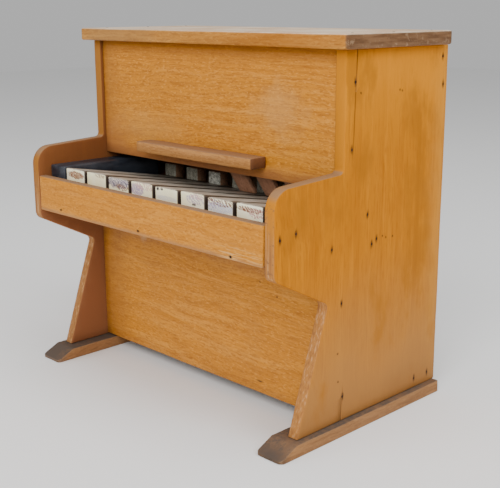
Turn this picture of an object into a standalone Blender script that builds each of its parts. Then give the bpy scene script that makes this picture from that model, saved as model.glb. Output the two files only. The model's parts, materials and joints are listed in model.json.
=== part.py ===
"""Toy upright piano: a nailed wooden case, eight keys, eight hammers, eight tone bars.

The piano faces -Y, X runs along the keys and Z is up.  The origin is on the floor, under
the middle of the piano's bounding box.  Everything is in metres.

Each side of the case is one shaped board, nailed on a long foot.
Each key is a tapered lever on one long steel rod.  Its tail carries a small weight and
lifts a hammer, which hangs on a second rod behind the upper panel and strikes a flat
steel bar from below.  The four bass hammers lie on the tail weights, and the four treble
hammers hang in front of them.
"""
import math

import bmesh
import bpy

# --- driving dimensions -------------------------------------------------------------

WIDTH = 0.240              # over the outer faces of the two sides
DEPTH = 0.158              # from the cheeks' front to the back of the feet
SIDE_TOP = 0.2322          # underside of the lid
BOARD = 0.0075             # thickness of the side boards
PANEL = 0.0060             # thickness of the panels, the rail and the key bed
GAP = 0.0003               # clearance between two pieces that touch

KEYS = 8
KEY_PITCH = 0.02468
KEY_WIDTH = 0.0221

FRONT = -DEPTH / 2         # front of the cheeks and of the key rail
BACK = DEPTH / 2           # back end of the feet
CASE = FRONT + 0.0574      # front edge of the upper part of the sides
SIDE_BACK = CASE + 0.0994  # rear edge of the sides
HALF = WIDTH / 2
INSIDE = HALF - BOARD      # inner face of a side

FOOT_HEIGHT = 0.0080
RAIL_BOTTOM, RAIL_TOP = 0.1151, 0.1398
PANEL_BOTTOM = 0.1507      # lower edge of the upper panel, above the keys

KEY_PIVOT = (CASE, 0.1332)             # y, z of the rod that the keys turn on
KEY_FRONT = CASE - 0.0468
KEY_TAIL = CASE + 0.0500
KEY_TOP = 0.1466                       # top of a key at its front end
KEY_SLOPE = 0.186                      # fall of a key's top for each metre towards the tail
KEY_ROD_RADIUS = 0.0012

HAMMER_PIVOT = (CASE + 0.0118, 0.1545)
HAMMER_WIDTH = 0.0145
HAMMER_ROD_RADIUS = 0.0010
HAMMER_ARM = 0.0032                    # thickness of a hammer's arm
HAMMER_BOSS = 0.0032                   # radius of the wood around the rod
HAMMER_NOSE = (0.0160, -0.0014)        # middle of the striking nose, from the rod
TREBLE_TIP = (0.0127, -0.0191)         # end of an arm that hangs down to the key
BASS_TIP = (0.0345, -0.0130)           # end of an arm that lies on the tail weight
BASS_HAMMERS = 4

BAR_UNDERSIDE = 0.1582
BAR_THICKNESS = 0.0025

# --- colours: (red, green, blue), roughness, metallic --------------------------------

FINISHES = {
    "amber_wood": ((0.58, 0.30, 0.085), 0.42, 0.0),
    "lid_wood": ((0.50, 0.29, 0.10), 0.45, 0.0),
    "dark_wood": ((0.20, 0.10, 0.045), 0.60, 0.0),
    "raw_wood": ((0.45, 0.33, 0.20), 0.70, 0.0),
    "hammer_wood": ((0.33, 0.18, 0.10), 0.60, 0.0),
    "cream_paint": ((0.72, 0.67, 0.55), 0.50, 0.0),
    "black_paint": ((0.02, 0.022, 0.03), 0.45, 0.0),
    "felt": ((0.30, 0.07, 0.06), 0.95, 0.0),
    "weight": ((0.42, 0.41, 0.37), 0.80, 0.0),
    "steel": ((0.60, 0.60, 0.58), 0.35, 1.0),
}


# --- helpers --------------------------------------------------------------------------

def clear_scene():
    for item in list(bpy.data.objects):
        bpy.data.objects.remove(item, do_unlink=True)


def finish(name):
    """The Principled material of that name, made once."""
    material = bpy.data.materials.get(name)
    if material is None:
        colour, roughness, metallic = FINISHES[name]
        material = bpy.data.materials.new(name)
        material.use_nodes = True
        shader = material.node_tree.nodes["Principled BSDF"]
        shader.inputs["Base Color"].default_value = (*colour, 1.0)
        shader.inputs["Roughness"].default_value = roughness
        shader.inputs["Metallic"].default_value = metallic
    return material


def add_object(name, mesh, material, place=(0.0, 0.0, 0.0)):
    item = bpy.data.objects.new(name, mesh)
    bpy.context.scene.collection.objects.link(item)
    item.location = place
    if material:
        mesh.materials.append(finish(material))
    return item


def soften(item, width, segments=2):
    """Round every sharp edge by a small bevel."""
    bevel = item.modifiers.new("soft_edges", "BEVEL")
    bevel.width = width
    bevel.segments = segments
    bevel.limit_method = "ANGLE"
    bevel.angle_limit = math.radians(35)
    bevel.use_clamp_overlap = True
    return item


def keep(mesh, name):
    """Turn a finished bmesh into mesh data."""
    data = bpy.data.meshes.new(name)
    mesh.to_mesh(data)
    mesh.free()
    return data


def extruded(name, outline, reach):
    """A closed solid: a flat outline of (x, y, z) points, pushed along reach."""
    mesh = bmesh.new()
    face = mesh.faces.new([mesh.verts.new(point) for point in outline])
    grown = bmesh.ops.extrude_face_region(mesh, geom=[face])
    moved = [v for v in grown["geom"] if isinstance(v, bmesh.types.BMVert)]
    bmesh.ops.translate(mesh, verts=moved, vec=reach)
    bmesh.ops.recalc_face_normals(mesh, faces=mesh.faces)
    return keep(mesh, name)


def prism(name, outline, x_low, x_high, material, place=(0.0, 0.0), edge=0.0, segments=2):
    """A board cut to an outline of (y, z) points and spanning from x_low to x_high.

    The outline is relative to place, which becomes the object's origin in y and z.
    """
    half = (x_high - x_low) / 2
    data = extruded(name, [(-half, y, z) for y, z in outline], (2 * half, 0.0, 0.0))
    item = add_object(name, data, material, (x_low + half, *place))
    if edge:
        soften(item, edge, segments)
    return item


def block(name, low, high, material, edge=0.0004, segments=1):
    """A plain rectangular board between two corners."""
    (x0, y0, z0), (x1, y1, z1) = low, high
    outline = [(y0, z0), (y1, z0), (y1, z1), (y0, z1)]
    return prism(name, outline, x0, x1, material, edge=edge, segments=segments)


def rod(name, place, radius, length, material, sides=20):
    """A round bar along X through the (y, z) place."""
    mesh = bmesh.new()
    bmesh.ops.create_cone(mesh, cap_ends=True, segments=sides, radius1=radius,
                          radius2=radius, depth=length)
    for vertex in mesh.verts:
        x, y, z = vertex.co
        vertex.co = (z, y, -x)
    data = keep(mesh, name)
    data.shade_smooth()
    data.set_sharp_from_angle(angle=math.radians(40))
    return add_object(name, data, material, (0.0, *place))


def bore(items, place, radius, length):
    """Drill the same hole along X through every item."""
    cutter = rod("cutter", place, radius, length, None)
    cutter.hide_render = True
    cutter.display_type = "WIRE"
    for item in items:
        cut = item.modifiers.new("bore", "BOOLEAN")
        cut.operation = "DIFFERENCE"
        cut.solver = "EXACT"
        cut.object = cutter


def arc(centre, radius, start, end, steps):
    """Points on a circle from one angle to another, in degrees."""
    points = []
    for i in range(steps + 1):
        angle = math.radians(start + (end - start) * i / steps)
        points.append((centre[0] + radius * math.cos(angle),
                       centre[1] + radius * math.sin(angle)))
    return points


def rounded(before, corner, after, radius, steps=8):
    """The points that round a corner of an outline, tangent to both of its edges."""
    def toward(a, b):
        length = math.dist(a, b)
        return (b[0] - a[0]) / length, (b[1] - a[1]) / length

    u, v = toward(corner, before), toward(corner, after)
    half = math.acos(max(-1.0, min(1.0, u[0] * v[0] + u[1] * v[1]))) / 2
    middle = (u[0] + v[0], u[1] + v[1])
    scale = radius / math.sin(half) / math.hypot(*middle)
    centre = (corner[0] + middle[0] * scale, corner[1] + middle[1] * scale)
    reach = radius / math.tan(half)
    first = (corner[0] + u[0] * reach - centre[0], corner[1] + u[1] * reach - centre[1])
    last = (corner[0] + v[0] * reach - centre[0], corner[1] + v[1] * reach - centre[1])
    start = math.degrees(math.atan2(first[1], first[0]))
    sweep = math.degrees(math.atan2(last[1], last[0])) - start
    sweep = (sweep + 180.0) % 360.0 - 180.0
    return arc(centre, radius, start, start + sweep, steps)


def key_top(y):
    """Height of a key's top at y, at rest."""
    return KEY_TOP - KEY_SLOPE * (y - KEY_FRONT)


def key_middle(number):
    """X of the middle of a key; the keyboard sits slightly right of the centre."""
    first = -0.0937 + KEY_WIDTH / 2
    return first + number * KEY_PITCH


# --- the case -------------------------------------------------------------------------

def side_outline():
    """One board: slanted leg, arm with rounded corners, straight upper part."""
    bottom = FOOT_HEIGHT + GAP
    top = SIDE_TOP - GAP
    toe = (CASE - 0.0378, bottom)
    armpit = (CASE - 0.0118, 0.0861)
    chin = (FRONT, 0.1093)
    nose = (FRONT, 0.1593)
    crook = (CASE, 0.1620)
    head = (CASE, top)
    points = [(SIDE_BACK, bottom), (SIDE_BACK, top), head]
    points += rounded(head, crook, nose, 0.0030, 5)
    points += rounded(crook, nose, chin, 0.0125, 14)
    points += rounded(nose, chin, armpit, 0.0060, 8)
    points += rounded(chin, armpit, toe, 0.0040, 5)
    points += [toe]
    return points


def build_sides():
    """Both sides, drilled from the inside for the ends of the two rods."""
    outline = side_outline()
    sides = [prism("left_side", outline, -HALF, -INSIDE, "amber_wood", edge=0.0006),
             prism("right_side", outline, INSIDE, HALF, "amber_wood", edge=0.0006)]
    reach = 2 * INSIDE + 0.0066
    bore(sides, KEY_PIVOT, KEY_ROD_RADIUS + GAP, reach)
    bore(sides, HAMMER_PIVOT, HAMMER_ROD_RADIUS + GAP, reach)


def slab(name, low, high, corner, material, edge=0.0, segments=2):
    """A flat board with rounded corners in plan, between two opposite corners."""
    (x0, y0, z0), (x1, y1, z1) = low, high
    square = [(x0, y0), (x1, y0), (x1, y1), (x0, y1)]
    plan = []
    for i in range(4):
        plan += rounded(square[i - 1], square[i], square[(i + 1) % 4], corner, 5)
    data = extruded(name, [(x, y, z0) for x, y in plan], (0.0, 0.0, z1 - z0))
    item = add_object(name, data, material)
    if edge:
        soften(item, edge, segments)
    return item


def build_feet():
    """Two long feet with a chamfered nose, standing out past the sides."""
    nose = FRONT + 0.0018
    outline = [(nose, 0.0)]
    outline += rounded((nose, 0.0), (BACK, 0.0), (BACK, FOOT_HEIGHT), 0.0012, 3)
    outline += rounded((BACK, 0.0), (BACK, FOOT_HEIGHT), (nose, FOOT_HEIGHT), 0.0025, 5)
    outline += [(CASE - 0.0423, FOOT_HEIGHT), (nose, 0.0018)]
    outer, inner = HALF + 0.0042, HALF - 0.0166
    for name, x_low, x_high in (("left_foot", -outer, -inner), ("right_foot", inner, outer)):
        foot = prism(name, outline, x_low, x_high, "dark_wood", edge=0.0005)
        plan = slab(name + "_plan", (x_low, nose, -0.0010), (x_high, BACK, 0.0100), 0.0030,
                    None)
        plan.hide_render = True
        plan.display_type = "WIRE"
        trim = foot.modifiers.new("round_corners", "BOOLEAN")
        trim.operation = "INTERSECT"
        trim.solver = "EXACT"
        trim.object = plan


def build_lid():
    reach = HALF + 0.0064
    slab("lid", (-reach, CASE - 0.0074, SIDE_TOP), (reach, CASE + 0.0947, SIDE_TOP + 0.0085),
         0.0030, "lid_wood", edge=0.0012, segments=3)


def build_panels():
    """Upper and lower panel, music ledge, key rail and key bed between the sides."""
    reach = INSIDE - GAP
    top = SIDE_TOP - GAP
    face = CASE + 0.0020
    block("upper_panel", (-reach, face, PANEL_BOTTOM), (reach, face + PANEL, top),
          "amber_wood")
    block("music_ledge", (-0.0579, face - 0.0140, 0.1578), (0.0556, face - GAP, 0.1649),
          "amber_wood", edge=0.0005)
    low_face = CASE - 0.0046
    block("lower_panel", (-reach, low_face, 0.0095), (reach, low_face + PANEL,
          RAIL_BOTTOM - GAP), "amber_wood")
    build_key_rail(reach)
    block("key_bed", (-reach, FRONT + PANEL + GAP, RAIL_BOTTOM),
          (reach, CASE + 0.0380, RAIL_BOTTOM + PANEL), "raw_wood")


def build_key_rail(reach):
    """The rail in front of the keys; its right end is cut short and a little askew."""
    corners = [(-reach, RAIL_BOTTOM), (reach - 0.0013, RAIL_BOTTOM),
               (reach - 0.0004, RAIL_TOP), (-reach, RAIL_TOP)]
    data = extruded("key_rail", [(x, FRONT, z) for x, z in corners], (0.0, PANEL, 0.0))
    soften(add_object("key_rail", data, "amber_wood"), 0.0008)


def build_back():
    """A thin back board and the two battens that it is nailed to."""
    reach = INSIDE - GAP
    sheet = SIDE_BACK - 0.0032
    block("back_board", (-reach, sheet, 0.0090), (reach, SIDE_BACK - 0.0002,
          SIDE_TOP - GAP), "raw_wood", edge=0.0003)
    block("top_batten", (-reach, sheet - GAP - 0.0079, 0.2030),
          (reach, sheet - GAP, SIDE_TOP - GAP), "raw_wood")
    block("bottom_batten", (-reach, CASE + 0.0700, 0.0100),
          (reach, sheet - GAP, 0.0200), "raw_wood")


def build_key_blocks():
    """Fixed painted blocks that close the keyboard at both ends."""
    low, tail = RAIL_BOTTOM + PANEL + GAP, CASE + 0.0378
    first_key = key_middle(0) - KEY_WIDTH / 2
    last_key = key_middle(KEYS - 1) + KEY_WIDTH / 2
    ends = [
        block("left_key_block", (-INSIDE + GAP, KEY_FRONT - 0.0004, low),
              (first_key - 0.0018, tail, KEY_TOP), "black_paint", edge=0.0008, segments=2),
        block("right_key_block", (last_key + 0.0026, KEY_FRONT - 0.0004, low),
              (INSIDE - GAP, tail, KEY_TOP), "black_paint", edge=0.0008, segments=2),
    ]
    bore(ends, KEY_PIVOT, KEY_ROD_RADIUS + GAP, WIDTH)


# --- the keys -------------------------------------------------------------------------

def build_key_frame():
    """The rod that the keys turn on and the rails under them, on the key bed."""
    reach = INSIDE - GAP
    inner_low = key_middle(0) - KEY_WIDTH / 2
    inner_high = key_middle(KEYS - 1) + KEY_WIDTH / 2
    floor = RAIL_BOTTOM + PANEL + GAP
    rod("key_rod", KEY_PIVOT, KEY_ROD_RADIUS, 2 * INSIDE + 0.0060, "steel")
    block("balance_rail", (inner_low, CASE - 0.0045, floor),
          (inner_high, CASE + 0.0045, 0.1268), "raw_wood")
    block("key_stop_rail", (inner_low, KEY_FRONT + 0.0008, floor),
          (inner_high, KEY_FRONT + 0.0088, 0.1262), "raw_wood")
    block("key_stop_felt", (inner_low, KEY_FRONT + 0.0010, 0.1262 + GAP),
          (inner_high, KEY_FRONT + 0.0086, 0.1284), "felt", edge=0.0003)
    block("tail_rest_rail", (-reach, CASE + 0.0420, RAIL_BOTTOM),
          (reach, CASE + 0.0490, 0.1213), "raw_wood")


def build_key(number):
    """A lever, deep at the front and thin at the tail, with its weight on the tail."""
    x = key_middle(number)
    py, pz = KEY_PIVOT
    front, tail = KEY_FRONT - py, KEY_TAIL - py
    top, low_front = KEY_TOP - pz, 0.1342 - pz
    tail_top = key_top(KEY_TAIL) - pz
    outline = [(front, low_front), (tail, tail_top - 0.0070), (tail, tail_top)]
    outline += [(front, top)]
    name = "key_%d" % (number + 1)
    lever = prism(name, outline, x - KEY_WIDTH / 2, x + KEY_WIDTH / 2, "cream_paint",
                  place=KEY_PIVOT, edge=0.0011, segments=3)
    lever.modifiers["soft_edges"].angle_limit = math.radians(60)

    weight_front, weight_back = CASE + 0.0384, CASE + 0.0470
    weight = [(weight_front, key_top(weight_front) + GAP),
              (weight_back, key_top(weight_back) + GAP),
              (weight_back, 0.1396), (weight_front, 0.1402)]
    weight = [(y - py, z - pz) for y, z in weight]
    prism("tail_weight_%d" % (number + 1), weight, x - 0.00625, x + 0.00625, "weight",
          place=KEY_PIVOT, edge=0.0005, segments=1)
    return lever


# --- the hammers ----------------------------------------------------------------------

def hammer_arm(tip):
    """A function that places points beside the line from the rod to the tip.

    Its arguments are the distance from the rod and how far the point lies to the front.
    """
    length = math.hypot(*tip)
    along = (tip[0] / length, tip[1] / length)
    front = (along[1], -along[0])

    def beside(distance, side):
        return (along[0] * distance + front[0] * side, along[1] * distance + front[1] * side)

    return beside, math.degrees(math.atan2(front[1], front[0]))


def treble_hammer_outline():
    """An arm that hangs down to the key's tail, and a nose under the tone bar."""
    half = HAMMER_ARM / 2
    beside, facing = hammer_arm(TREBLE_TIP)
    points = arc(TREBLE_TIP, half, facing, facing + 180.0, 6)
    points += [beside(0.0070, -half)]
    points += arc(HAMMER_NOSE, 0.0017, -90.0, 90.0, 6)
    points += arc((0.0, 0.0), HAMMER_BOSS, 82.0, facing % 360.0, 8)
    points += [beside(0.0042, half)]
    return points


def bass_hammer_outline():
    """A long arm that lies on the tail weight, with the nose standing on its back."""
    half = HAMMER_ARM / 2
    beside, facing = hammer_arm(BASS_TIP)
    points = arc(BASS_TIP, half, facing, facing + 180.0, 6)
    points += [beside(0.0186, -half)]
    points += arc(HAMMER_NOSE, 0.0017, 0.0, 180.0, 6)
    points += [beside(0.0128, -half), beside(0.0060, -half)]
    points += arc((0.0, 0.0), HAMMER_BOSS, 60.0, facing % 360.0, 8)
    return points


def build_hammer(number):
    x = key_middle(number)
    outline = bass_hammer_outline() if number < BASS_HAMMERS else treble_hammer_outline()
    return prism("hammer_%d" % (number + 1), outline, x - HAMMER_WIDTH / 2,
                 x + HAMMER_WIDTH / 2, "hammer_wood", place=HAMMER_PIVOT, edge=0.0003,
                 segments=1)


def build_action():
    """Keys and hammers on their two rods."""
    keys = [build_key(number) for number in range(KEYS)]
    bore(keys, KEY_PIVOT, KEY_ROD_RADIUS + GAP, WIDTH)
    hammers = [build_hammer(number) for number in range(KEYS)]
    bore(hammers, HAMMER_PIVOT, HAMMER_ROD_RADIUS + GAP, WIDTH)
    rod("hammer_rod", HAMMER_PIVOT, HAMMER_ROD_RADIUS, 2 * INSIDE + 0.0060, "steel")


# --- the tone bars --------------------------------------------------------------------

def bar_length(number):
    """Bars get shorter towards the treble, on the right."""
    return 0.0760 - 0.0030 * number


def rear_support_y(x):
    """Middle of the slanted rail under the far ends of the bars."""
    left, right = CASE + 0.0740, CASE + 0.0570
    return left + (right - left) * (x + INSIDE) / (2 * INSIDE)


def support(name, middle, half_width, z_low, z_high, material):
    """A rail from side to side whose middle line is a function of x."""
    reach = INSIDE - GAP
    ends = ((-reach, -1), (reach, -1), (reach, 1), (-reach, 1))
    outline = [(x, middle(x) + side * half_width, z_low) for x, side in ends]
    add_object(name, extruded(name, outline, (0.0, 0.0, z_high - z_low)), material)


def build_tone_bars():
    rail_high = 0.1566
    felt_high = BAR_UNDERSIDE - GAP
    places = {"front_bar": (lambda x: CASE + 0.0328, 0.1535),
              "rear_bar": (rear_support_y, 0.1484)}
    for label, (middle, rail_low) in places.items():
        support(label + "_rail", middle, 0.0022, rail_low, rail_high, "raw_wood")
        support(label + "_felt", middle, 0.0018, rail_high + GAP, felt_high, "felt")
    for number in range(KEYS):
        x = key_middle(number)
        front = CASE + 0.0150
        block("tone_bar_%d" % (number + 1), (x - 0.0070, front, BAR_UNDERSIDE),
              (x + 0.0070, front + bar_length(number), BAR_UNDERSIDE + BAR_THICKNESS),
              "steel", edge=0.0004)


clear_scene()
build_sides()
build_feet()
build_lid()
build_panels()
build_back()
build_key_blocks()
build_key_frame()
build_action()
build_tone_bars()
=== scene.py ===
# %% [markdown]
# # A toy upright piano in worn amber varnish
#
# This lesson dresses a small nailed wooden piano.  The frame that it loads already holds
# every board, key, hammer and rod at its true size, so nothing here moves or resizes them.
# What is left is what the eye judges: rounded and dented edges, wood grain that follows
# each board, varnish worn through along the edges, dirty key tops, crayon smudges and
# rusty nail heads.
#
# The frame is loaded first.

# %% Load the frame
import json
import math
import bmesh
import bpy
from mathutils import Matrix, Vector, noise


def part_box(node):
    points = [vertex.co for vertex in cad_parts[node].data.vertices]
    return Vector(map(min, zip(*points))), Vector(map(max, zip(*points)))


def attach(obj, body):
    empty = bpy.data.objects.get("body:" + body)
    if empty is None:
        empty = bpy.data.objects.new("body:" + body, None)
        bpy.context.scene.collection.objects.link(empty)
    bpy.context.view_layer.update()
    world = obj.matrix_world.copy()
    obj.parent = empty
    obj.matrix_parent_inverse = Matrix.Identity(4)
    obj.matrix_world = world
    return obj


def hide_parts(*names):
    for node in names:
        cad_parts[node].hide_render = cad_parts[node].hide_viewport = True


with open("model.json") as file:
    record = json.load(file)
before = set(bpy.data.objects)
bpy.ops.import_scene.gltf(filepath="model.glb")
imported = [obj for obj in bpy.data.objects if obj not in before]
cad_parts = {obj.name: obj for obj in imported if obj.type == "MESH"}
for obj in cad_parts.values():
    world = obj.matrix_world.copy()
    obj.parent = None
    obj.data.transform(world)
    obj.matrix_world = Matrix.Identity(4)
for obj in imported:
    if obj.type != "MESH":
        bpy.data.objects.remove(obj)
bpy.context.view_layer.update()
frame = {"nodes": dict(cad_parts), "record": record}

NODES = frame["nodes"]
GROUPS = frame["record"]["behaviour"]["bodies"]
BODY_OF = {node: body for body, nodes in GROUPS.items() for node in nodes}
KEY_COUNT = sum(1 for name in NODES if name.startswith("key_") and name[4:].isdigit())
print("loaded", len(NODES), "nodes in", len(GROUPS), "bodies,", KEY_COUNT, "keys")

# %% [markdown]
# The camera comes next, because every later choice is judged through it.  It stands
# in front and to the right, about half a metre away and a little higher than the lid, so
# the front, the right side and the keys all show.  The lens is a little longer than normal.

# %% Camera
EYE = Vector((0.4656, -0.4347, 0.2557))
TURN = 0.7972          # radians to the left of straight back
TILT = -0.2466         # radians below level
ROLL = -0.0044
LENS = 68.1            # millimetres, on a sensor 36 mm wide


def add_object(name, data):
    """A new object in the scene, made of a mesh, a light or a camera."""
    item = bpy.data.objects.new(name, data)
    bpy.context.scene.collection.objects.link(item)
    return item


def turned_to(direction):
    """The matrix that points a camera or a light along a direction."""
    return direction.to_track_quat("-Z", "Y").to_matrix().to_4x4()


def place_camera():
    data = bpy.data.cameras.new("camera")
    data.lens = LENS
    data.sensor_width = 36.0
    data.clip_start = 0.01
    camera = add_object("camera", data)
    direction = Vector((-math.sin(TURN) * math.cos(TILT), math.cos(TURN) * math.cos(TILT),
                        math.sin(TILT)))
    camera.matrix_world = (Matrix.Translation(EYE) @ turned_to(direction)
                           @ Matrix.Rotation(ROLL, 4, "Z"))
    bpy.context.scene.camera = camera


place_camera()
print("camera at", tuple(round(v, 3) for v in EYE), "lens", LENS, "mm")

# %% [markdown]
# Worn varnish shows best under broad, soft light: one large panel in front and to the
# right, a weaker one on the left, one overhead, and a pale room around them.

# %% Floor and lights
FLOOR_SIZE = 6.0


def place_floor():
    mesh = bpy.data.meshes.new("floor")
    s = FLOOR_SIZE / 2
    mesh.from_pydata([(-s, -s, 0), (s, -s, 0), (s, s, 0), (-s, s, 0)], [], [(0, 1, 2, 3)])
    floor = add_object("floor", mesh)
    material = bpy.data.materials.new("floor_paper")
    material.use_nodes = True
    shader = material.node_tree.nodes["Principled BSDF"]
    shader.inputs["Base Color"].default_value = (0.90, 0.90, 0.895, 1.0)
    shader.inputs["Roughness"].default_value = 0.9
    shader.inputs["Specular IOR Level"].default_value = 0.1
    mesh.materials.append(material)


def place_light(name, position, target, size, power):
    data = bpy.data.lights.new(name, "AREA")
    data.size = size
    data.energy = power
    light = add_object(name, data)
    aim = turned_to(Vector(target) - Vector(position))
    light.matrix_world = Matrix.Translation(position) @ aim


def pale_room(strength):
    world = bpy.data.worlds.new("pale_room")
    bpy.context.scene.world = world
    world.use_nodes = True
    backdrop = world.node_tree.nodes["Background"]
    backdrop.inputs["Color"].default_value = (1.0, 1.0, 1.0, 1.0)
    backdrop.inputs["Strength"].default_value = strength


place_floor()
MIDDLE = (0.0, 0.0, 0.11)
place_light("front_panel", (0.75, -1.15, 1.00), MIDDLE, 1.0, 21.5)
place_light("side_panel", (1.25, 0.10, 1.05), MIDDLE, 0.9, 8.5)
place_light("left_panel", (-0.8, -1.3, 0.8), MIDDLE, 1.0, 5.0)
place_light("top_panel", (0.2, 0.0, 1.6), MIDDLE, 1.0, 7.0)
pale_room(0.52)
print("4 soft panels and a pale room")

# %% [markdown]
# Materials are built from shader nodes.  Short helpers keep the node code readable: `put`
# adds any node, and the others add what turns up again and again, such as a sum, a mix of
# two colours, a stretched range of values or a cloudy noise.

# %% Node helpers


def put(tree, kind, inputs=None, **settings):
    """Add a node; a socket among the inputs is linked, anything else is its value."""
    node = tree.nodes.new(kind)
    for key, value in settings.items():
        setattr(node, key, value)
    for key, value in (inputs or {}).items():
        if isinstance(value, bpy.types.NodeSocket):
            tree.links.new(value, node.inputs[key])
        else:
            node.inputs[key].default_value = value
    return node


def maths(tree, operation, first, second=0.0, clamp=False):
    node = put(tree, "ShaderNodeMath", {0: first, 1: second}, operation=operation,
               use_clamp=clamp)
    return node.outputs[0]


def plus(tree, first, second, clamp=False):
    return maths(tree, "ADD", first, second, clamp)


def minus(tree, first, second):
    return maths(tree, "SUBTRACT", first, second)


def times(tree, first, second):
    return maths(tree, "MULTIPLY", first, second)


def flipped(tree, value):
    """1 where the value is 0, and 0 where it is 1."""
    return minus(tree, 1.0, value)


def vectors(tree, operation, first, second=(0.0, 0.0, 0.0)):
    """Vector arithmetic; a length or a dot product comes out as one number."""
    node = put(tree, "ShaderNodeVectorMath", {0: first, 1: second}, operation=operation)
    return node.outputs["Value" if operation in ("LENGTH", "DOT_PRODUCT") else "Vector"]


def opaque(colour):
    """A plain colour with its opacity added; a socket is left as it is."""
    return (*colour, 1.0) if isinstance(colour, tuple) else colour


def mixed(tree, amount, first, second):
    """Colour first, blended towards colour second by an amount."""
    node = put(tree, "ShaderNodeMix", {0: amount, 6: opaque(first), 7: opaque(second)},
               data_type="RGBA")
    return node.outputs[2]


def laid(tree, colour, tone, mask, amount):
    """Lay a tone over a colour where a mask says, by an amount."""
    return mixed(tree, times(tree, mask, amount), colour, tone)


def between(tree, value, low, high, out_low=0.0, out_high=1.0):
    """Stretch values from low to high smoothly onto out_low to out_high."""
    node = put(tree, "ShaderNodeMapRange", {"Value": value, "From Min": low,
               "From Max": high, "To Min": out_low, "To Max": out_high},
               interpolation_type="SMOOTHSTEP")
    return node.outputs["Result"]


def stretched(tree, vector, factors):
    return vectors(tree, "MULTIPLY", vector, factors)


def axis_of(tree, vector, axis):
    """One of the X, Y and Z parts of a vector."""
    return put(tree, "ShaderNodeSeparateXYZ", {0: vector}).outputs[axis]


def face_normal(tree):
    return put(tree, "ShaderNodeTexCoord").outputs["Normal"]


def cloud(tree, vector, scale, detail=3.0, roughness=0.55, distortion=0.0):
    node = put(tree, "ShaderNodeTexNoise", {"Vector": vector, "Scale": scale,
               "Detail": detail, "Roughness": roughness, "Distortion": distortion})
    return node.outputs["Fac"]


def new_group(name, inputs, outputs):
    """A shader group with named sockets; inputs give (name, kind, value)."""
    tree = bpy.data.node_groups.new(name, "ShaderNodeTree")
    for label, kind, value in inputs:
        socket = tree.interface.new_socket(name=label, in_out="INPUT",
                                           socket_type="NodeSocket" + kind)
        if value is not None:
            socket.default_value = value
    for label, kind in outputs:
        tree.interface.new_socket(name=label, in_out="OUTPUT",
                                  socket_type="NodeSocket" + kind)
    return tree, put(tree, "NodeGroupInput").outputs, put(tree, "NodeGroupOutput").inputs


def use_group(tree, group, inputs):
    return put(tree, "ShaderNodeGroup", inputs, node_tree=group)


def new_material(name, roughness=0.5, metallic=0.0):
    """A material, its node tree, its shader and the place on the piece."""
    material = bpy.data.materials.new(name)
    material.use_nodes = True
    tree = material.node_tree
    shader = tree.nodes["Principled BSDF"]
    shader.inputs["Roughness"].default_value = roughness
    shader.inputs["Metallic"].default_value = metallic
    return material, tree, shader, put(tree, "ShaderNodeTexCoord").outputs["Object"]


def plug_in(tree, shader, colour, height, strength, depth=0.0002):
    """Give a shader its colour, and a relief that is depth metres deep."""
    tree.links.new(colour, shader.inputs["Base Color"])
    lumps = put(tree, "ShaderNodeBump", {"Height": height, "Strength": strength,
                "Distance": depth})
    tree.links.new(lumps.outputs["Normal"], shader.inputs["Normal"])


print("node helpers ready")

# %% [markdown]
# ## Wood grain
#
# A sawn board shows three things at once: the cut through its yearly rings, fine
# streaks of fibre, and small pale flecks and dark pores.  They all run along the board,
# so the group expects its place turned until the grain lies along X.  Noise squeezed
# along X makes the streaks; rings around an axis far away make the broad figure.

# %% Grain group


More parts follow.
